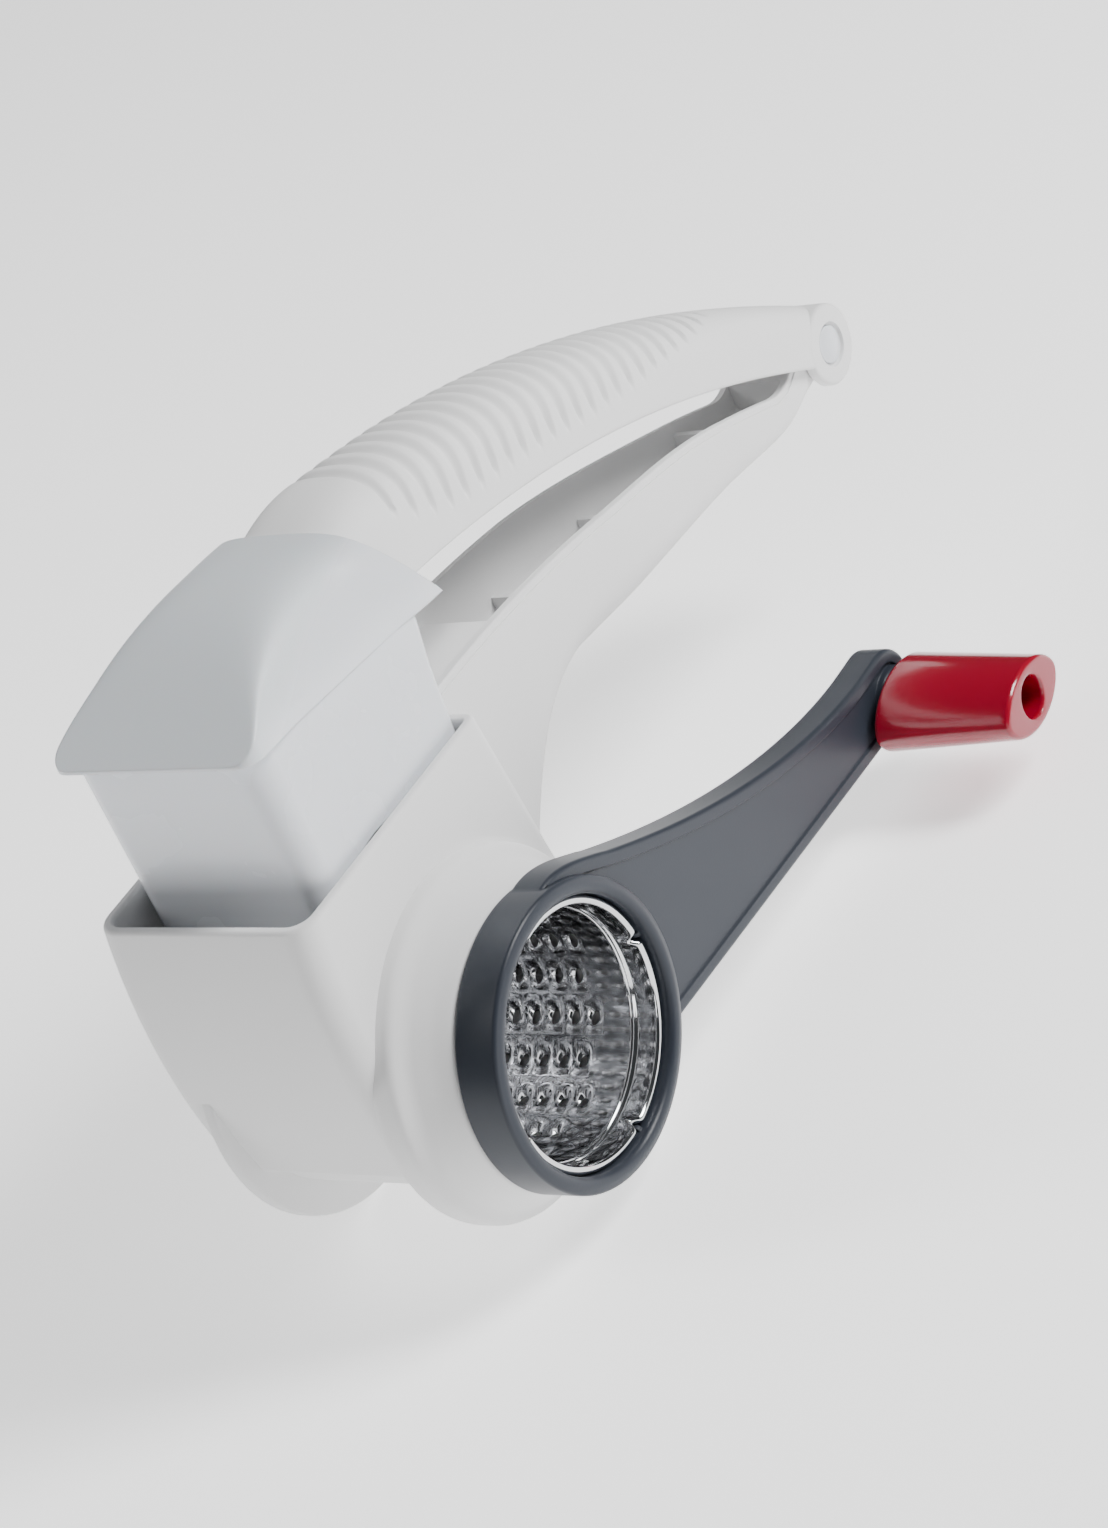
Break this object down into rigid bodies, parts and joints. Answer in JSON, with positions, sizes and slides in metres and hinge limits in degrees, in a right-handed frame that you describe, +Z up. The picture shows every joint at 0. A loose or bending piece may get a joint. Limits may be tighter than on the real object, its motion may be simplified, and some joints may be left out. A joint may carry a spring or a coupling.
{
  "type": "rotary drum grater",
  "caption": "Hand-held rotary drum grater: hopper over a perforated steel drum, squeeze lever with pusher and hood, side crank with knob.",
  "frame": {"origin": "centre of the drum axis at the hopper's flat side face", "axes": "+X along the drum axis towards the crank, +Y from the hopper towards the handles' hinge, +Z up out of the hopper's mouth"},
  "size_m": [0.091, 0.2151, 0.1148],
  "materials": {
    "white_plastic": "glossy bluish-white ABS moulding",
    "pearl_plastic": "satin pearl-white moulding of the hood",
    "slate_plastic": "semi-gloss anthracite moulding",
    "red_plastic": "glossy deep red moulding of the knob",
    "steel_sheet": "polished stainless sheet",
    "screw_steel": "turned and polished steel"
  },
  "bodies": {
    "root": {"hopper_housing": "white_plastic", "lower_handle": "white_plastic", "drum_bush": "slate_plastic", "pivot_pin": "white_plastic", "pin_cap": "white_plastic"},
    "lever": {"lever": "white_plastic", "hood": "pearl_plastic", "pusher": "white_plastic"},
    "crank": {"crank": "slate_plastic", "knob_screw": "screw_steel"},
    "knob": {"knob": "red_plastic"},
    "drum": {"drum_shell": "steel_sheet", "drum_rim": "steel_sheet", "drum_end_disc": "steel_sheet", "drum_stub": "screw_steel"}
  },
  "joints": [
    {"name": "lever_pivot", "type": "hinge", "parent": "root", "child": "lever", "pos_m": [0.0223, 0.1757, 0.0221], "axis": [-1, 0, 0], "range_deg": [-6.6, 68]},
    {"name": "crank_turn", "type": "hinge", "parent": "root", "child": "crank", "pos_m": [0.0603, 0, 0], "axis": [1, 0, 0], "continuous": true},
    {"name": "knob_spin", "type": "hinge", "parent": "crank", "child": "knob", "pos_m": [0.0775, 0.1113, -0.016], "axis": [1, 0, 0], "continuous": true},
    {"name": "drum_pull", "type": "slide", "parent": "crank", "child": "drum", "axis": [1, 0, 0], "range_m": [0, 0.06]}
  ]
}
